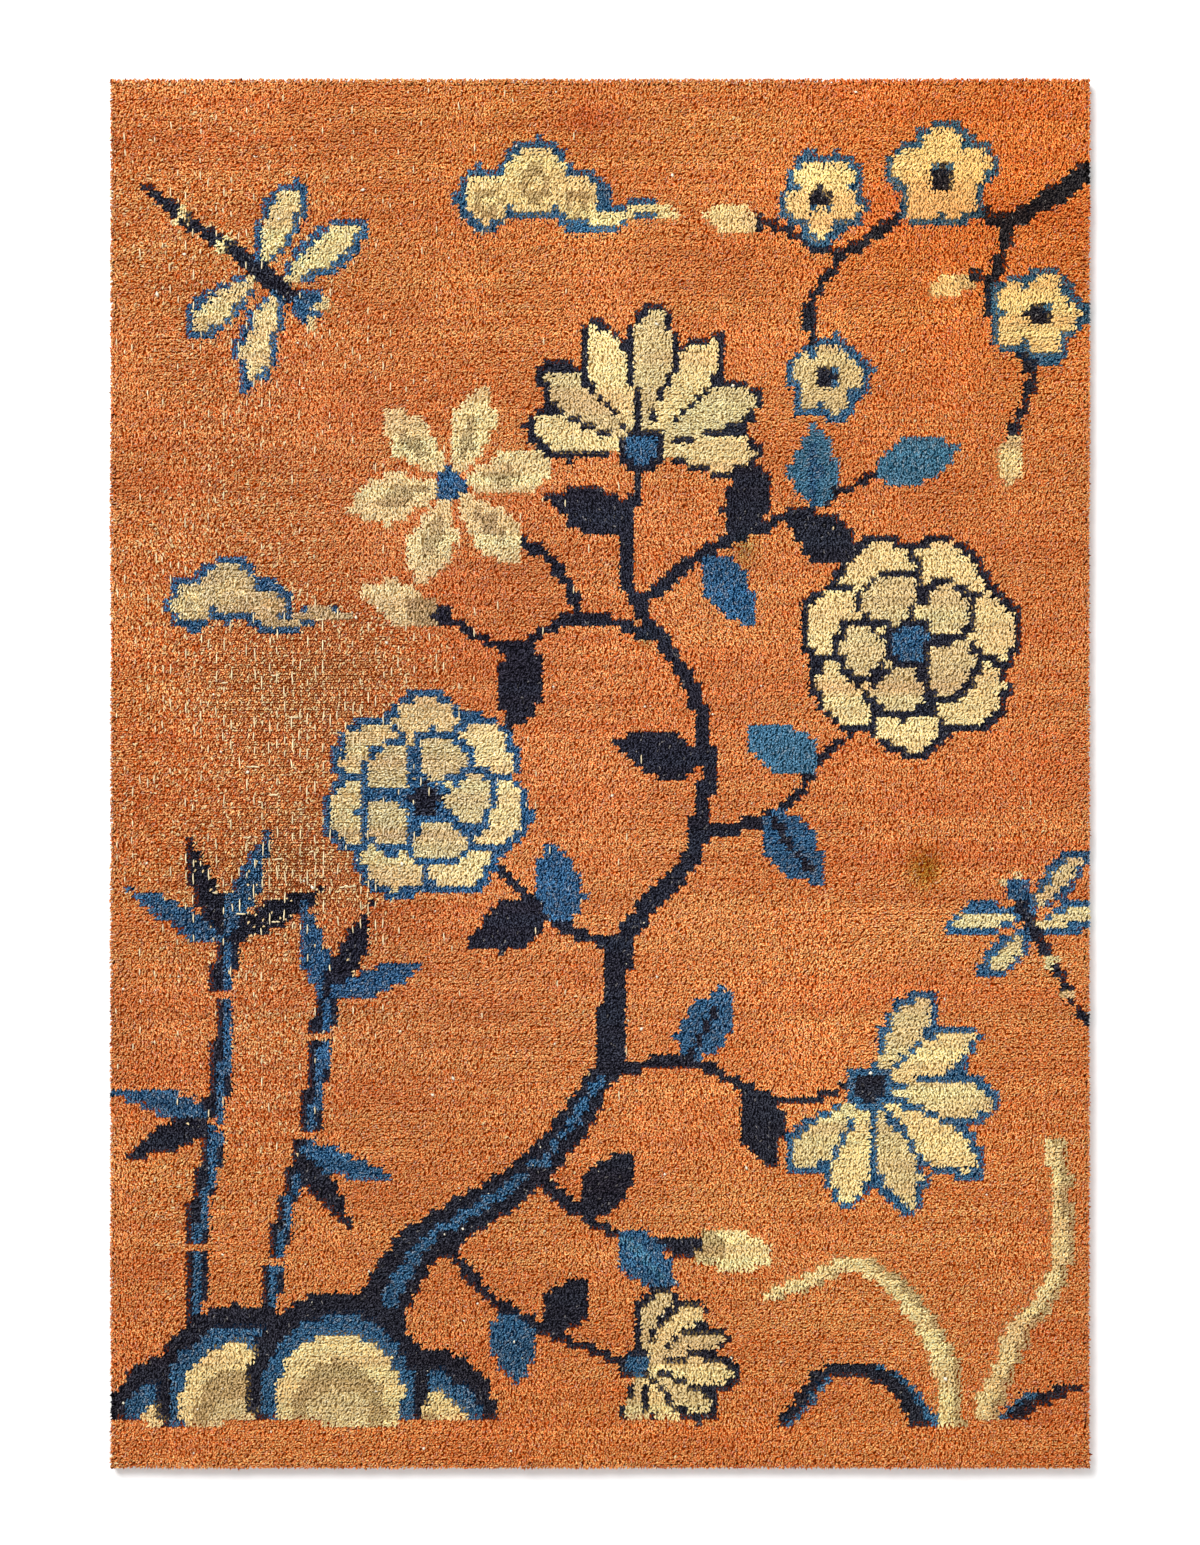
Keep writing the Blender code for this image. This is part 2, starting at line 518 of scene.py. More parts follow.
class Nodes:
    """Builds a tree of nodes, for a material or for Geometry Nodes."""

    def __init__(self, tree):
        self.tree = tree

    def add(self, kind, settings, inputs, output=0):
        """Adds a node: its settings first, then the values or links of its sockets."""
        node = self.tree.nodes.new(kind)
        for name, value in settings.items():
            setattr(node, name, value)
        for name, value in inputs.items():
            self.fill(node, name, value)
        shown = [socket for socket in node.outputs if socket.enabled]
        return Socket(self, shown[output]) if shown else None

    def fill(self, node, name, value):
        """Gives one socket, known by its name or its number, a value or a link."""
        shown = [socket for socket in node.inputs if socket.enabled and socket.name == name]
        socket = shown[0] if shown else node.inputs[name]
        if isinstance(value, Socket):
            self.tree.links.new(value.output, socket)
        else:
            socket.default_value = value

    def scaled(self, vector, factor):
        """A vector or colour times another, or a place stretched."""
        return self.add("ShaderNodeVectorMath", {"operation": "MULTIPLY"}, {0: vector, 1: factor})

    def shaded(self, colour, factor):
        """A colour made lighter or darker by a number, or a vector made longer or shorter."""
        return self.scaled(colour, self.vector(factor, factor, factor))

    def vector(self, x, y, z):
        return self.add("ShaderNodeCombineXYZ", {}, {"X": x, "Y": y, "Z": z})


# -------- Geometry Nodes


def new_tree(name, kinds):
    """An empty modifier tree with an input of each named kind, and those inputs by name."""
    tree = bpy.data.node_groups.new(name, "GeometryNodeTree")
    tree.is_modifier = True
    for label, kind in kinds.items():
        tree.interface.new_socket(label, in_out="INPUT", socket_type=f"NodeSocket{kind}")
    tree.interface.new_socket("made", in_out="OUTPUT", socket_type="NodeSocketGeometry")
    nodes = Nodes(tree)
    given = {label: nodes.add("NodeGroupInput", {}, {}, k) for k, label in enumerate(kinds)}
    return nodes, given


def close_tree(nodes, made, finish):
    """Ends a tree: the instances are made real and get their finish."""
    real = nodes.add("GeometryNodeRealizeInstances", {}, {"Geometry": made})
    inputs = {"Geometry": real, "Material": finish}
    finished = nodes.add("GeometryNodeSetMaterial", {}, inputs)
    nodes.add("NodeGroupOutput", {}, {"made": finished})
    return nodes.tree


def carried(nodes, name):
    """A vector that each point carries."""
    settings = {"data_type": "FLOAT_VECTOR"}
    return nodes.add("GeometryNodeInputNamedAttribute", settings, {"Name": name})


def drawn(nodes, kind, least, most, seed):
    """A number or vector drawn at random for each point."""
    spread = {"Min": least, "Max": most, "Seed": seed}
    return nodes.add("FunctionNodeRandomValue", {"data_type": kind}, spread)


def shapes_tree():
    """Sets a shape, picked at random from a few, on each point.

    A point carries which way its shape lies, as three turns, and how large it has grown.
    """
    kinds = {"points": "Geometry", "shapes": "Collection", "last_shape": "Int"}
    kinds |= {"size": "Vector", "unevenness": "Float", "seed": "Int", "finish": "Material"}
    nodes, given = new_tree("shapes_on_points", kinds)
    seed, unevenness = given["seed"], given["unevenness"]
    settings = {"transform_space": "ORIGINAL"}
    wanted = {"Collection": given["shapes"], "Separate Children": True, "Reset Children": True}
    shapes = nodes.add("GeometryNodeCollectionInfo", settings, wanted)
    uneven = drawn(nodes, "FLOAT_VECTOR", 1 - unevenness, 1 + unevenness, seed)
    size = nodes.scaled(given["size"], carried(nodes, "grown"))
    placing = {
        "Points": given["points"],
        "Instance": shapes,
        "Pick Instance": True,
        "Instance Index": drawn(nodes, "INT", 0, given["last_shape"], seed),
        "Rotation": carried(nodes, "lies"),
        "Scale": nodes.scaled(size, uneven),
    }
    made = nodes.add("GeometryNodeInstanceOnPoints", {}, placing)
    return close_tree(nodes, made, given["finish"])


STRAND_SIDES = 5


def strands_tree():
    """Lays a cotton strand along each point's own direction.

    A strand arches up out of the cloth between its ends, which dive back in, and it wavers.
    """
    kinds = {"points": "Geometry", "thickness": "Float", "arch": "Float", "waver": "Float"}
    kinds |= {"bends": "Int", "seed": "Int", "finish": "Material"}
    nodes, given = new_tree("strands_on_points", kinds)
    ends = {"Start": (-0.5, 0.0, 0.0), "End": (0.5, 0.0, 0.0)}
    line = nodes.add("GeometryNodeCurvePrimitiveLine", {}, ends)
    line = nodes.add("GeometryNodeResampleCurve", {}, {"Curve": line, "Count": given["bends"]})
    placing = {
        "Points": given["points"],
        "Instance": line,
        "Rotation": carried(nodes, "lies"),
        "Scale": carried(nodes, "grown"),
    }
    placed = nodes.add("GeometryNodeInstanceOnPoints", {}, placing)
    lines = nodes.add("GeometryNodeRealizeInstances", {}, {"Geometry": placed})
    rise = (nodes.add("GeometryNodeSplineParameter", {}, {}) * math.pi).sine()
    lift = nodes.vector(0.0, 0.0, (rise - 0.6) * given["arch"])
    stray = drawn(nodes, "FLOAT_VECTOR", (-1.0, -1.0, -0.3), (1.0, 1.0, 0.3), given["seed"])
    ways = {0: nodes.shaded(stray, given["waver"]), 1: lift}
    offset = nodes.add("ShaderNodeVectorMath", {"operation": "ADD"}, ways)
    bent = nodes.add("GeometryNodeSetPosition", {}, {"Geometry": lines, "Offset": offset})
    circle = {"Resolution": STRAND_SIDES, "Radius": 0.5}
    section = nodes.add("GeometryNodeCurvePrimitiveCircle", {}, circle)
    thickness = (0.55 + 0.45 * rise) * given["thickness"]
    sweeping = {"Curve": bent, "Profile Curve": section, "Scale": thickness, "Fill Caps": True}
    made = nodes.add("GeometryNodeCurveToMesh", {}, sweeping)
    return close_tree(nodes, made, given["finish"])


# How a mesh stores one, three or four numbers to a place, and what it calls their field.
STORES = {1: ("FLOAT", "value"), 3: ("FLOAT_VECTOR", "vector"), 4: ("FLOAT_COLOR", "color")}


def give(mesh, name, values, domain="POINT"):
    """Stores one number, vector or colour for each of a mesh's points or corners."""
    kind, field = STORES[1 if values.ndim == 1 else values.shape[1]]
    attribute = mesh.attributes.new(name, kind, domain)
    attribute.data.foreach_set(field, np.ascontiguousarray(values, np.float32).ravel())


def with_alpha(colours):
    return np.column_stack([colours, np.ones(len(colours))])


def point_values(lies, grown, tip_colour, deep_colour=None):
    """What a piece's points carry: which way each shape lies, its size, its colour and, for the
    wool, its painted shade.
    """
    values = {"lies": lies, "grown": grown, "tip_colour": with_alpha(tip_colour)}
    if deep_colour is not None:
        values["deep_colour"] = with_alpha(deep_colour)
    return values


def made_on_points(name, tree, places, values, inputs):
    """A piece that a tree makes on points, as one plain mesh."""
    mesh = bpy.data.meshes.new(name)
    mesh.vertices.add(len(places))
    mesh.vertices.foreach_set("co", np.ascontiguousarray(places, np.float32).ravel())
    for value_name, numbers in values.items():
        give(mesh, value_name, numbers)
    piece = shown(name, mesh)
    modifier = piece.modifiers.new("made", "NODES")
    modifier.node_group = tree
    for socket in tree.interface.items_tree:
        if socket.name in inputs:
            modifier[socket.identifier] = inputs[socket.name]
    depsgraph = bpy.context.evaluated_depsgraph_get()
    made = bpy.data.meshes.new_from_object(piece.evaluated_get(depsgraph))
    piece.modifiers.remove(modifier)
    piece.data = made
    made.name = name
    made.shade_smooth()
    return piece


def shown(name, data):
    """A new object of the scene: a piece, a light or the camera."""
    thing = bpy.data.objects.new(name, data)
    bpy.context.scene.collection.objects.link(thing)
    return thing


def new_shape(name, points, faces, tips):
    """A small shape for the nodes to repeat. tips says how near each point is to the light."""
    mesh = bpy.data.meshes.new(name)
    mesh.from_pydata(points, [], faces)
    mesh.shade_smooth()
    give(mesh, "tip", np.array(tips, float))
    return bpy.data.objects.new(name, mesh)


def set_shapes(name, places, values, shapes, **make):
    """A piece made of small shapes, one on each place. make gives the tree's other inputs."""
    choice = bpy.data.collections.new(f"{name}_shapes")
    for shape in shapes:
        choice.objects.link(shape)
    inputs = {"shapes": choice, "last_shape": len(shapes) - 1, **make}
    return made_on_points(name, SHAPES_TREE, places, values, inputs)


def lay_strands(name, places, lies, length, shade, **make):
    """A piece made of cotton strands, one at each place, each with its length and shade."""
    colour = COTTON * np.exp(shade)[:, None]
    values = point_values(lies, stacked(length, 1.0, 1.0), colour)
    return made_on_points(name, STRANDS_TREE, places, values, make)


SHAPES_TREE = shapes_tree()
STRANDS_TREE = strands_tree()

# -------- materials

# Which output of an attribute's node gives a colour, and which a number.
COLOUR, NUMBER = 0, 2


class Finish(Nodes):
    """A material, made node by node."""

    def __init__(self, name):
        self.material = bpy.data.materials.new(name)
        self.material.use_nodes = True
        super().__init__(self.material.node_tree)
        self.shader = self.tree.nodes["Principled BSDF"]

    def set(self, **inputs):
        """Sets the shader's own sockets."""
        for name, value in inputs.items():
            self.fill(self.shader, name.replace("_", " "), value)

    def stretched_place(self, stretch):
        """Where on the piece a point lies, in metres, stretched each way."""
        object_output = 3
        place = self.add("ShaderNodeTexCoord", {}, {}, object_output)
        return self.scaled(place, stretch)

    def carried(self, name, output=COLOUR):
        """A colour or number that the piece's points carry."""
        return self.add("ShaderNodeAttribute", {"attribute_name": name}, {}, output)

    def noise(self, place, scale, detail):
        inputs = {"Vector": place, "Scale": scale, "Detail": detail, "Roughness": 0.6}
        return self.add("ShaderNodeTexNoise", {}, inputs)

    def mixed(self, first, second, share):
        """A share of the second colour in the first, from 0 to 1."""
        inputs = {"Factor": share, "A": first, "B": second}
        return self.add("ShaderNodeMix", {"data_type": "RGBA"}, inputs)

    def bump(self, height, distance, strength):
        inputs = {"Height": height, "Distance": distance, "Strength": strength}
        return self.add("ShaderNodeBump", {}, inputs)


def wool_finish():
    """Clipped wool: fine fibres in each ply, with painted light at the tips and painted shade
    down between the ends.
    """
    finish = Finish("clipped_wool")
    tip = finish.carried("tip", NUMBER)
    fibres = finish.noise(finish.stretched_place((1.0, 1.0, 0.25)), scale=1300.0, detail=3.0)
    # Painted light and shade: the lit colour near each ply's top and in random fibres, the
    # painted shade lower down, and the whole colour darker towards each ply's foot.
    lit = (0.34 * tip + 4.8 * fibres - 2.14).above_nothing() ** 2.0
    colour = finish.mixed(finish.carried("deep_colour"), finish.carried("tip_colour"), lit)
    finish.set(
        Base_Color=finish.shaded(colour, 0.72 + 0.28 * tip),
        Roughness=0.95,
        Specular_IOR_Level=0.0,
        Normal=finish.bump(fibres, distance=0.30 * MM, strength=0.35),
    )
    return finish.material


def cotton_finish():
    """Undyed cotton, spun in strands."""
    finish = Finish("undyed_cotton")
    strands = finish.noise(finish.stretched_place((1.0, 0.35, 1.0)), scale=2400.0, detail=2.0)
    finish.set(
        Base_Color=finish.shaded(finish.carried("tip_colour"), 0.70 + 0.5 * strands),
        Roughness=0.95,
        Specular_IOR_Level=0.1,
        Normal=finish.bump(strands, distance=0.3 * MM, strength=0.6),
    )
    return finish.material


# -------- the pile

PLY_SIZE = (2.5 * MM, 1.6 * MM, 2.0 * MM)
PLY_STRAYS = (0.34 * MM, 0.25 * MM)
CLIPPED_UNDER = 0.26 * MM
BANDS = 4
EDGE = 1.0 * MM
COMBED = math.radians(58)
NAP = math.radians(-100)
NAP_LEAN = 0.28


def map_from_above(piece, low, high, drawn_in):
    """Lays out the piece's bake map as seen from above.

    Each shape is drawn in round its own middle, so that neighbours don't share the map.
    """
    mesh = piece.data
    points, middles = np.zeros((2, 3 * len(mesh.vertices)), np.float32)
    mesh.vertices.foreach_get("co", points)
    mesh.attributes["middle"].data.foreach_get("vector", middles)
    points, middles = (values.reshape(-1, 3)[:, :2] for values in (points, middles))
    places = middles + drawn_in * (points - middles)
    share = (places - low) / (np.array(high) - low)
    corners = np.zeros(len(mesh.loops), np.int32)
    mesh.loops.foreach_get("vertex_index", corners)
    layer = mesh.uv_layers.new(name="OFBake")
    layer.data.foreach_set("uv", np.ascontiguousarray(share[corners], np.float32).ravel())
    mesh.attributes.remove(mesh.attributes["middle"])


def ply_shapes():
    """One clipped ply: a ridge from end to end, with a side falling away on each hand."""
    shapes = []
    for name, skew, fall in (
        ("ply_level", 0.0, 0.10),
        ("ply_turned_left", 0.16, 0.25),
        ("ply_turned_right", -0.16, 0.05),
    ):
        points = [(-0.5, 0.0, 0.0), (0.5, 0.0, -fall), (skew, -0.5, -1.0), (-skew, 0.5, -1.0)]
        shapes.append(new_shape(name, points, [(0, 2, 1), (0, 1, 3)], (1, 1, 0, 0)))
    return shapes


def lean_and_turn(lean_x, lean_y, turn):
    """The three turns of a shape that is turned about its own axis and then leans over."""
    tilt_x, tilt_y = -lean_y, lean_x
    about_x = np.cos(turn) * tilt_x + np.sin(turn) * tilt_y
    about_y = np.cos(turn) * tilt_y - np.sin(turn) * tilt_x
    return stacked(about_x, about_y, turn)


def wool_colours(yarn, x, y, shade, seed):
    """The wool's lit colour and its painted shade at these places, with the dye's unevenness,
    fading and stains.
    """
    streaks = smooth_noise(x / 9, y, 7 * MM, seed)
    clouds = smooth_noise(x / 2, y, 45 * MM, seed + 1)
    dye = 0.11 * streaks + 0.06 * clouds
    redness = np.outer(dye, (0.5, 1.6, 1.8))
    change = fade_at(x, y) * np.exp(shade[:, None] + redness)
    return LIT_TIP_COLOURS[yarn] * change, PAINTED_SHADE_COLOURS[yarn] * change


def ply_lie(draw, x, y, wear, unruly, seed):
    """Which way each ply lies: combed aslant and leaning with the nap, or square where worn."""
    count = len(x)
    combed = COMBED + 0.9 * smooth_noise(x, y, 40 * MM, seed + 5)
    turn = np.where(draw.random(count) < wear, draw.choice((0.0, math.pi / 2), count), combed)
    turn = turn + draw.normal(0, 0.55, count) * unruly
    nap = NAP + 0.9 * smooth_noise(x, y, 70 * MM, seed + 1)
    lean_x = (NAP_LEAN * np.cos(nap) + draw.normal(0, 0.17, count)) * unruly
    lean_y = (NAP_LEAN * np.sin(nap) + draw.normal(0, 0.17, count)) * unruly
    return lean_and_turn(lean_x, lean_y, turn)


def ply_shade(draw, knot, wear):
    """How much lighter or darker each ply is, by its knot, by its row and by itself."""
    knot_shade = draw.normal(0, 0.03, (ROWS, KNOTS))[knot]
    row_shade = draw.normal(0, 0.03, ROWS)[knot[0]] * (1 + wear)
    return knot_shade + row_shade + draw.normal(0, 1, len(wear)) * (0.08 + 0.26 * wear)


def bareness_at(column, row, yarn, wear):
    """How likely each ply is to be gone, most of all where a warp passes between two rows."""
    on_warp = column % SPLIT == 0
    between_rows = row % SPLIT == 0
    likely = 0.06 + 0.22 * on_warp + 0.05 * between_rows + 0.67 * on_warp * between_rows
    return wear * likely * np.where(yarn == ORANGE, 1.0, 0.3)


def plies(yarns, seed):
    """Where each clipped ply stands, what it carries, and which row of plies it is in."""
    draw = np.random.default_rng(seed)
    column, row, x, y = squares(SPLIT)
    knot = (row // SPLIT, column // SPLIT)
    yarn = yarns[knot]
    wear = wear_at(x, y)
    unruly = 1 - 0.6 * wear
    count = len(x)

    # A knot's plies stand close along the warps, and each row of plies is staggered.
    stagger = (row % 2 - 0.5) * KNOT / 4
    drawn_together = (1 - row % SPLIT) * 0.10 * MM
    x = x + (stagger + draw.normal(0, PLY_STRAYS[0], count)) * unruly
    y = y + drawn_together + draw.normal(0, PLY_STRAYS[1], count) * unruly
    x, y = kept_inside(x, y, EDGE)
    height = cloth_height(x, y) - SUNK[yarn] * (1 - wear)
    height -= np.abs(draw.normal(0, CLIPPED_UNDER, count)) * (1 + wear)
    lies = ply_lie(draw, x, y, wear, unruly, seed)
    grown = stacked(1 - 0.45 * wear, 1 - 0.14 * wear, 1 - 0.10 * wear)

    shade = ply_shade(draw, knot, wear)
    # Each ply carries its wool's lit colour and its painted shade; the painted shade is darker
    # where the pile is worn.
    tip, painted_shade = wool_colours(yarn, x, y, shade, seed + 2)
    bleached = (draw.random(count) < BLEACHED[yarn])[:, None]
    tip = np.where(bleached, 0.6 * tip + 0.4 * BLEACHED_TIP, tip)
    painted_shade = painted_shade * (1 - 0.55 * wear)[:, None]

    # Where a ply is gone, cotton shows in its place, in a lit colour of its own and a painted
    # shade.
    bare = draw.random(count) < bareness_at(column, row, yarn, wear)
    tip = np.where(bare[:, None], COTTON * (1.15, 1.1, 1.0), tip)
    painted_shade = np.where(bare[:, None], COTTON * (0.9, 0.75, 0.6), painted_shade)
    height += 0.35 * MM * bare
    places = stacked(x, y, height)
    values = point_values(lies, grown, tip, painted_shade)
    return places, {**values, "middle": places}, row


def make_pile(yarns, finish):
    """The clipped pile, in bands of rows so that none is too heavy."""
    places, values, row = plies(yarns, 11)
    shapes = ply_shapes()
    corner = np.array((WIDTH / 2 + 2 * MM, 4 * MM))
    pieces = []
    for band in range(BANDS):
        first, last = (SPLIT * ROWS * edge // BANDS for edge in (band, band + 1))
        here = (row >= first) & (row < last)
        chosen = {name: numbers[here] for name, numbers in values.items()}
        make = {"size": PLY_SIZE, "unevenness": 0.16, "seed": 20 + band, "finish": finish}
        piece = set_shapes(f"pile_{band + 1}", places[here], chosen, shapes, **make)
        low = (0, first * ROW / SPLIT - LENGTH / 2) - corner
        high = (0, last * ROW / SPLIT - LENGTH / 2) + corner
        map_from_above(piece, low, high, 0.5)
        pieces.append(piece)
    return pieces


# -------- the rim

RIM_YARN_FOOT = 2.2 * MM
RIM_YARN_SIZE = (1.7 * MM, 1.5 * MM, 1.0)
RIM_YARN_INSETS = (0.9 * MM, 1.6 * MM, 2.4 * MM)


def rim_places(inset, height):
    """Places round the rug's rim, set in from it, each with its direction out in radians."""
    ends, sides = (LENGTH, WIDTH, ROW), (WIDTH, LENGTH, KNOT)
    places = []
    for angle, (run, reach, weave) in zip((0, 90, 180, 270), (ends, sides, ends, sides)):
        half = run / 2 - inset
        count = round(2 * half / (weave / SPLIT))
        along = ((np.arange(count) + 0.5) / count * 2 - 1) * half
        outward = towards(angle)
        x = outward[0] * (reach / 2 - inset) + abs(outward[1]) * along
        y = outward[1] * (reach / 2 - inset) + abs(outward[0]) * along
        places.append(stacked(x, y, height, math.radians(angle)))
    return np.vstack(places)


def corner_places(inset, height):
    """Three places at each corner of the rug, which face out at different angles."""
    places = []
    for corner in (45, 135, 225, 315):
        x, y = np.sign(towards(corner)) * (WIDTH / 2 - inset, LENGTH / 2 - inset)
        places += [(x, y, height, math.radians(corner + turn)) for turn in (-25, 0, 25)]
    return np.array(places)


def make_rim_yarn(yarns, finish):
    """The outermost knots' yarn, seen from the side all the way down to the cut ground."""
    draw = np.random.default_rng(31)
    rings = []
    for inset in RIM_YARN_INSETS:
        rings += [rim_places(inset, RIM_YARN_FOOT), corner_places(inset, RIM_YARN_FOOT)]
    rim = np.vstack(rings)
    count = len(rim)
    rim[:, :2] += draw.normal(0, 0.25 * MM, (count, 2))
    x, y, _, out = rim.T
    column = np.clip((x / KNOT + KNOTS / 2).astype(int), 0, KNOTS - 1)
    row = np.clip((y / ROW + ROWS / 2).astype(int), 0, ROWS - 1)
    shade = draw.normal(0, 0.1, count)
    colours = wool_colours(yarns[row, column], x, y, shade, 13)
    lean = draw.normal(0.05, 0.06, count)
    sideways = draw.normal(0, 0.09, count)
    lean_x = lean * np.cos(out) - sideways * np.sin(out)
    lean_y = lean * np.sin(out) + sideways * np.cos(out)
    lies = lean_and_turn(lean_x, lean_y, out - math.pi / 2)
    top = 0.93 * cloth_height(*kept_inside(x, y, SHOULDER)) - draw.uniform(0, 0.9 * MM, count)
    values = point_values(lies, stacked(1.0, 1.0, top - RIM_YARN_FOOT), *colours)
    points = [(-0.5, -1.0, 0.0), (0.0, 0.0, 0.0), (0.5, -1.0, 0.0)]
    points += [(-0.4, -1.0, 0.95), (0.0, 0.0, 1.0), (0.4, -1.0, 0.93)]
    tips = (0.0, 0.4, 0.0, 0.2, 1.0, 0.2)
    shapes = [new_shape("rim_yarn_end", points, [(1, 0, 3, 4), (2, 1, 4, 5)], tips)]
    make = {"size": RIM_YARN_SIZE, "unevenness": 0.10, "seed": 32, "finish": finish}
    return set_shapes("rim_yarn", rim[:, :3], values, shapes, **make)


# -------- the woven ground

CORE_DROP = 2.6 * MM
CUT_FOOT = 0.8 * MM
CUT_TOP = 2.6 * MM
CUT_INSET = 1.4 * MM
LEDGE_INSET = 3.6 * MM
KNOT_BACK_SIZE = (4.15 * MM, 3.75 * MM, 0.78 * MM)


def make_ground(yarns, finish):
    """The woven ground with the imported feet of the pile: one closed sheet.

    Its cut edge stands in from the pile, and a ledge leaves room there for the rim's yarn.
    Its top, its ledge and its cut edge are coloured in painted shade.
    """
    columns, rows = KNOTS + 1, ROWS + 1
    grid = np.meshgrid(np.linspace(-1, 1, columns), np.linspace(-1, 1, rows))
    share_x, share_y = grid[0].ravel(), grid[1].ravel()

    def level(inset, height):
        """The whole grid at one height, drawn in from the rug's edge."""
        return stacked(share_x * (WIDTH / 2 - inset), share_y * (LENGTH / 2 - inset), height)

    underside, edge = level(CUT_INSET, CUT_FOOT), level(CUT_INSET, CUT_TOP)
    ledge = level(LEDGE_INSET, CUT_TOP)
    x, y, _ = ledge.T
    top = stacked(x, y, np.maximum(cloth_height(x, y) - CORE_DROP, GROUND))

    count = columns * rows
    index = np.arange(count).reshape(rows, columns)
    quads = np.stack([index[:-1, :-1], index[:-1, 1:], index[1:, 1:], index[1:, :-1]], -1)
    quads = quads.reshape(-1, 4)
    border = np.concatenate([index[0, :-1], index[:-1, -1], index[-1, :0:-1], index[:0:-1, 0]])
    edge_ring = 2 * count + np.arange(len(border))
    ledge_ring = edge_ring + len(border)

    def band(lower, upper):
        return np.column_stack([lower, np.roll(lower, -1), np.roll(upper, -1), upper])

    cut = band(border, edge_ring)
    inner = np.vstack([band(edge_ring, ledge_ring), band(ledge_ring, border + count)])
    points = np.vstack([underside, top, edge[border], ledge[border]])
    faces = np.vstack([quads[:, ::-1], quads + count, cut, inner])
    mesh = bpy.data.meshes.new("ground")
    mesh.from_pydata(points.tolist(), [], faces.tolist())
    mesh.shade_smooth()
    mesh.set_sharp_from_angle(angle=math.radians(40))

    x, y, _ = top[quads].mean(1).T
    # Painted shade: the top under the pile is the knots' yarn in painted shade, darker where
    # worn, the cut edge is cotton at half brightness for painted shadow, and the ledge is orange
    # in painted shade.
    in_the_dark = 0.35
    feet = PAINTED_SHADE_COLOURS[yarns.ravel()] * (0.6 - 0.3 * wear_at(x, y))[:, None]
    rim = np.tile(0.5 * COTTON, (len(cut), 1))
    painted_shade_between_feet = np.tile(PAINTED_SHADE_COLOURS[ORANGE] * in_the_dark, (len(inner), 1))
    colours = np.vstack([np.tile(COTTON, (len(quads), 1)), feet, rim, painted_shade_between_feet])
    give(mesh, "tip_colour", np.repeat(with_alpha(colours), 4, 0), "CORNER")
    mesh.materials.append(finish)
    return shown("ground", mesh)


def make_knot_backs(yarns, finish):
    """The knots' backs on the underside, between the wefts: what the rug lies on."""
    draw = np.random.default_rng(41)
    _, _, x, y = squares()
    count = len(x)
    x = x + draw.normal(0, 0.12 * MM, count)
    y = y + draw.normal(0, 0.10 * MM, count)
    x, y = kept_inside(x, y, 3.2 * MM)
    places = stacked(x, y, 0.05 * MM)
    slant = draw.normal(0.10, 0.06, count)
    shade = draw.normal(-0.1, 0.10, count)
    colours = wool_colours(yarns.ravel(), x, y, shade, 43)
    values = point_values(stacked(math.pi, 0.0, slant), np.ones((count, 3)), *colours)
    values["middle"] = places
    points = [(-0.5, -0.5, -1.0), (0.5, -0.5, -1.0), (0.5, 0.5, -1.0), (-0.5, 0.5, -1.0)]
    points += [(-0.30, 0.06, 0.0), (0.30, -0.06, 0.0)]
    faces = [(0, 1, 5, 4), (1, 2, 5), (2, 3, 4, 5), (3, 0, 4)]
    shapes = [new_shape("knot_back", points, faces, (0, 0, 0, 0, 1, 1))]
    make = {"size": KNOT_BACK_SIZE, "unevenness": 0.04, "seed": 44, "finish": finish}
    piece = set_shapes("knot_backs", places, values, shapes, **make)
    map_from_above(piece, (-WIDTH / 2, -LENGTH / 2), (WIDTH / 2, LENGTH / 2), 1.0)
    return piece


# -------- bare cotton


def bare_warps(finish):
    """Warps that show where the knots' collars have worn through, in lines a knot apart."""
    draw = np.random.default_rng(51)
    lines, tries = KNOTS - 1, 110
    length = draw.uniform(3.5 * MM, 9 * MM, (lines, tries))
    gap = draw.uniform(1 * MM, 5 * MM, (lines, tries))
    y = np.cumsum(length + gap, 1) - length / 2 - LENGTH / 2
    x = np.repeat(((np.arange(lines) + 1) * KNOT - WIDTH / 2)[:, None], tries, 1)
    on_rug = y + length / 2 < LENGTH / 2 - SHOULDER
    x, y, length = x[on_rug], y[on_rug], length[on_rug]
    wear = wear_at(x, y)

    # The whole left side is a little thin, but for its lower end.
    thin_across = np.clip((30 * MM - x) / (150 * MM), 0, 1)
    thin_along = np.clip((y + 200 * MM) / (110 * MM), 0, 1)
    thinness = thin_across * thin_along * (1 + 0.9 * smooth_noise(x, y, 30 * MM, 53))
    bare = draw.random(len(x)) < 0.10 * thinness + 0.62 * wear**1.2
    x, y, length, wear = x[bare], y[bare], length[bare], wear[bare]
    x = x + draw.normal(0, 0.25 * MM, len(x))
    places = stacked(x, y, cloth_height(x, y) - 0.05 * MM)
    lies = stacked(0.0, 0.0, math.pi / 2 + draw.normal(0, 0.04, len(x)))
    length = length * (0.55 + 0.45 * wear)
    shade = draw.normal(0, 0.10, len(x))
    make = {"thickness": 0.82 * MM, "arch": 0.45 * MM, "waver": 0.14 * MM, "bends": 6, "seed": 52}
    return lay_strands("bare_warps", places, lies, length, shade, **make, finish=finish)


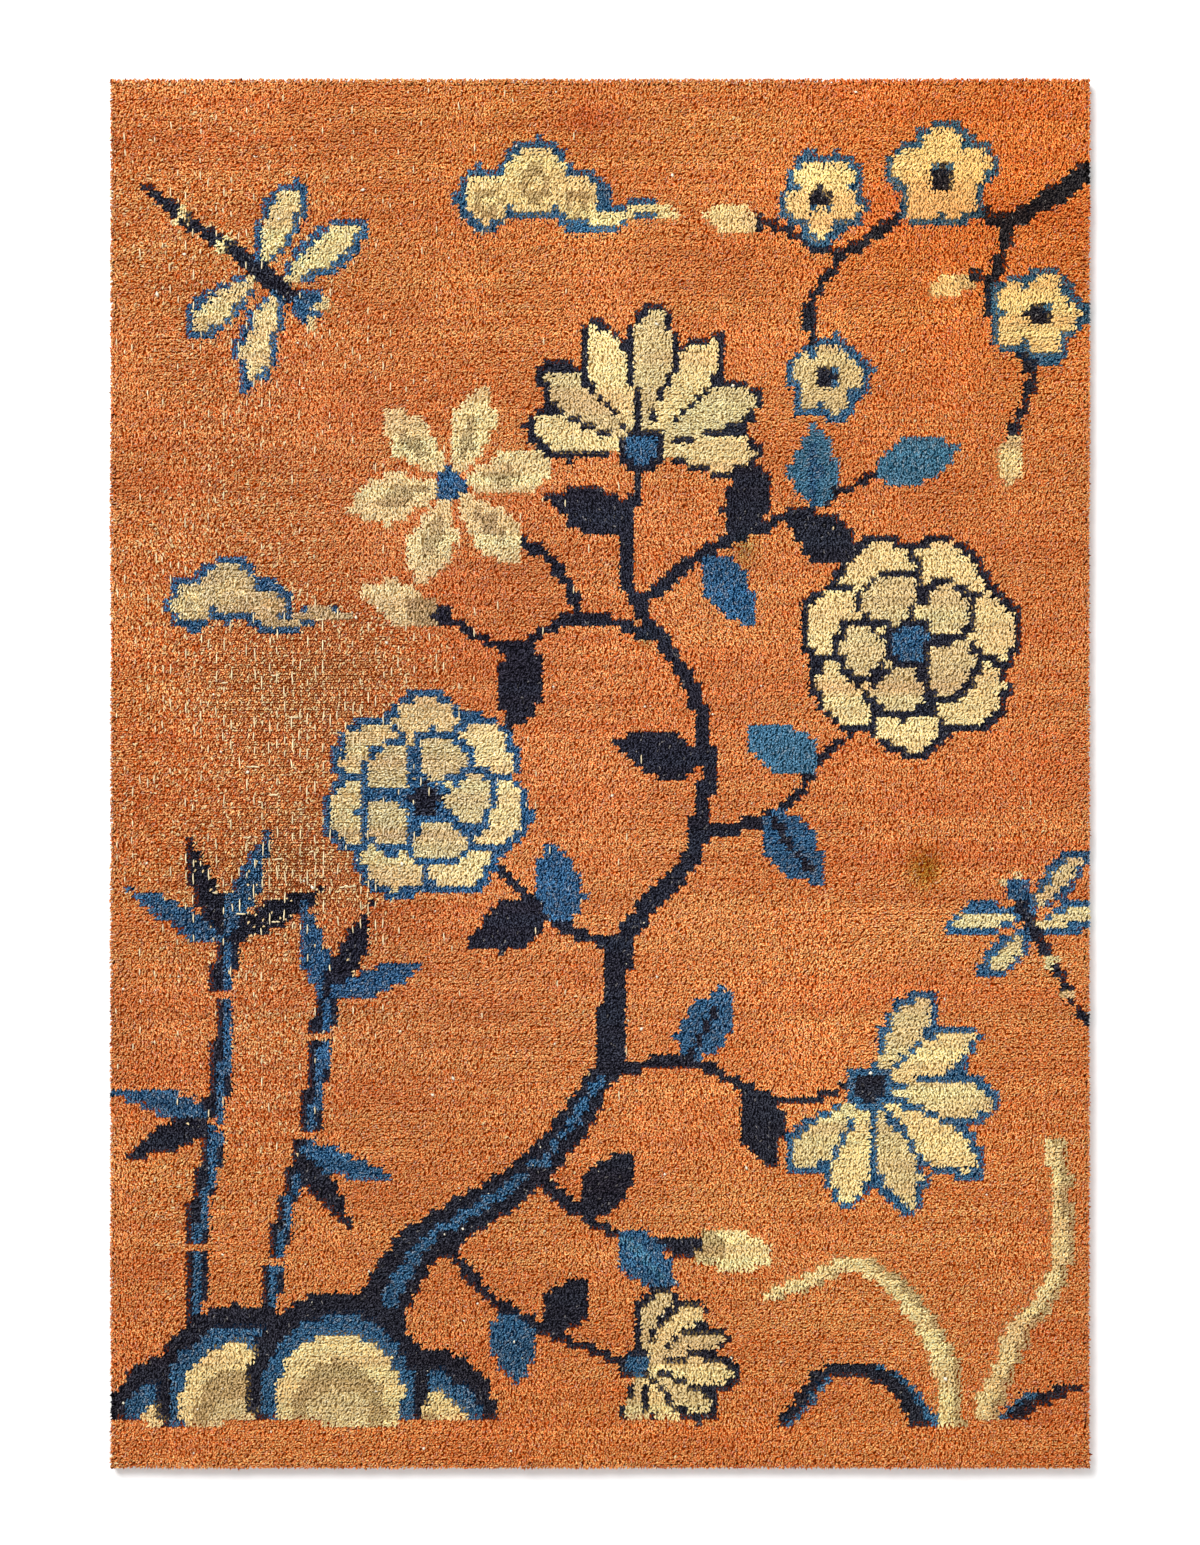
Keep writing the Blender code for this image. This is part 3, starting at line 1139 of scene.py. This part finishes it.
def bare_wefts(finish):
    """Rows of weft that show in the most worn places, over and under the warps."""
    draw = np.random.default_rng(61)
    runs = 260
    x = draw.uniform(-WIDTH / 2 + 20 * MM, 0.0, runs)
    row = np.floor(draw.uniform(0.04, 0.96, runs) * ROWS)
    worn = wear_at(x, row * ROW - LENGTH / 2) > 0.40
    steps = np.where(draw.random(runs) < 0.12, 13, draw.integers(1, 4, runs))
    bumps = [
        (x[run] + step * KNOT / 2, row[run] * ROW - LENGTH / 2)
        for run in np.flatnonzero(worn)
        for step in range(steps[run])
        if draw.random() < 0.75
    ]
    x, y = kept_inside(*np.array(bumps).T, 6 * MM)
    y = y + draw.normal(0, 0.2 * MM, len(x))
    places = stacked(x, y, cloth_height(x, y) + 0.05 * MM)
    lies = stacked(0.0, 0.0, draw.normal(0, 0.15, len(x)))
    length = draw.uniform(1.6 * MM, 3.6 * MM, len(x))
    shade = draw.normal(-0.05, 0.14, len(x))
    make = {"thickness": 1.1 * MM, "arch": 0.45 * MM, "waver": 0.15 * MM, "bends": 5, "seed": 62}
    return lay_strands("bare_wefts", places, lies, length, shade, **make, finish=finish)


def cut_ends(finish):
    """The cut ends of the warps and wefts round the rim."""
    draw = np.random.default_rng(71)
    rim = rim_places(1.9 * MM, 1.6 * MM)
    count = len(rim)
    rim[:, 2] += np.where(np.arange(count) % 2 == 0, 0.45 * MM, -0.35 * MM)
    turn = rim[:, 3] + draw.normal(0, 0.18, count)
    lies = stacked(0.0, draw.normal(0, 0.12, count), turn)
    length = draw.uniform(1.4 * MM, 2.4 * MM, count)
    shade = draw.normal(-0.15, 0.16, count)
    make = {"thickness": 1.25 * MM, "arch": 0.2 * MM, "waver": 0.05 * MM, "bends": 3, "seed": 72}
    return lay_strands("cut_ends", rim[:, :3], lies, length, shade, **make, finish=finish)


BIG_FLECK = (0.1977, -0.346)


def make_lint(finish):
    """Flecks of lint and chaff on the pile, most of them at the left, and one that is bigger."""
    draw = np.random.default_rng(81)
    count = 260
    x = WIDTH * (draw.beta(1.1, 2.2, count) - 0.5)
    y = LENGTH * (draw.random(count) - 0.5)
    x, y = kept_inside(x, y, 8 * MM)
    x[0], y[0] = BIG_FLECK
    places = stacked(x, y, cloth_height(x, y) + 0.1 * MM)
    lies = draw.uniform(-1, 1, (count, 3)) * (0.5, 0.5, math.pi)
    size = np.minimum(draw.lognormal(0.0, 0.5, count), 2.6)
    size[0] = 3.4
    grown = stacked(size * draw.uniform(0.7, 1.8, count), size, size * 0.6)
    colour = LINT * np.exp(draw.normal(0, 0.08, count))[:, None]
    points = [(0.5, 0.0, 0.0), (0.1, 0.5, 0.05), (-0.5, 0.15, -0.05), (-0.05, -0.45, 0.0)]
    points += [(0.05, 0.0, 0.4), (0.0, 0.05, -0.4)]
    faces = [(k, (k + 1) % 4, 4) for k in range(4)]
    faces += [((k + 1) % 4, k, 5) for k in range(4)]
    shapes = [new_shape("fleck", points, faces, [1] * 6)]
    make = {"size": [0.95 * MM] * 3, "unevenness": 0.2, "seed": 82, "finish": finish}
    return set_shapes("lint", places, point_values(lies, grown, colour), shapes, **make)


# -------- the studio

PHOTO_WIDE, PHOTO_HIGH = 1200, 1545
RUG_LEFT, RUG_RIGHT, RUG_TOP, RUG_BOTTOM = 109, 1091, 79, 1469
CAMERA_HEIGHT = 2.0
SENSOR = 36.0


def make_camera():
    """Straight above the rug, framed as in the photograph."""
    metres_per_pixel = WIDTH / (RUG_RIGHT - RUG_LEFT)
    data = bpy.data.cameras.new("camera")
    data.sensor_width = SENSOR
    data.lens = SENSOR * CAMERA_HEIGHT / (PHOTO_HIGH * metres_per_pixel)
    data.clip_end = 20.0
    camera = shown("camera", data)
    across = (PHOTO_WIDE / 2 - (RUG_LEFT + RUG_RIGHT) / 2) * metres_per_pixel
    up = ((RUG_TOP + RUG_BOTTOM) / 2 - PHOTO_HIGH / 2) * metres_per_pixel
    camera.location = (across, up, HIGH.z + CAMERA_HEIGHT)
    bpy.context.scene.camera = camera


def make_floor():
    finish = Finish("studio_floor")
    finish.set(Base_Color=(*WHITE_FLOOR, 1.0), Roughness=0.8)
    reach = 6.0
    corners = [(-reach, -reach, 0), (reach, -reach, 0), (reach, reach, 0), (-reach, reach, 0)]
    mesh = bpy.data.meshes.new("floor")
    mesh.from_pydata(corners, [], [(0, 1, 2, 3)])
    mesh.materials.append(finish.material)
    shown("floor", mesh)


def add_light(name, azimuth, elevation, distance, size, power):
    """A soft light that shines on the middle of the rug."""
    data = bpy.data.lights.new(name, "AREA")
    data.shape = "SQUARE"
    data.size = size
    data.energy = power
    light = shown(name, data)
    out, up = towards(elevation)
    away = Vector((*(out * towards(azimuth)), up))
    light.location = away * distance
    light.rotation_euler = (-away).to_track_quat("-Z", "Y").to_euler()


def make_lights():
    add_light("key", 125, 50, 3.4, 1.8, 138)
    add_light("fill", -40, 55, 3.6, 2.4, 38)
    world = bpy.data.worlds.new("studio")
    world.use_nodes = True
    background = world.node_tree.nodes["Background"]
    background.inputs["Color"].default_value = (1.0, 1.0, 1.0, 1.0)
    background.inputs["Strength"].default_value = 0.40
    bpy.context.scene.world = world
    bpy.context.scene.view_settings.view_transform = "Standard"


# -------- putting it together

make_camera()
make_floor()
make_lights()

yarns = draw_chart()
wool = wool_finish()
cotton = cotton_finish()
ground = make_ground(yarns, cotton)
wool_pieces = [*make_pile(yarns, wool), make_rim_yarn(yarns, wool), make_knot_backs(yarns, wool)]
cotton_pieces = [bare_warps(cotton), bare_wefts(cotton), cut_ends(cotton), make_lint(cotton)]

for piece in (ground, *wool_pieces, *cotton_pieces):
    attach(piece, "root")
    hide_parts(CLOTH)
wool_pieces + cotton_pieces
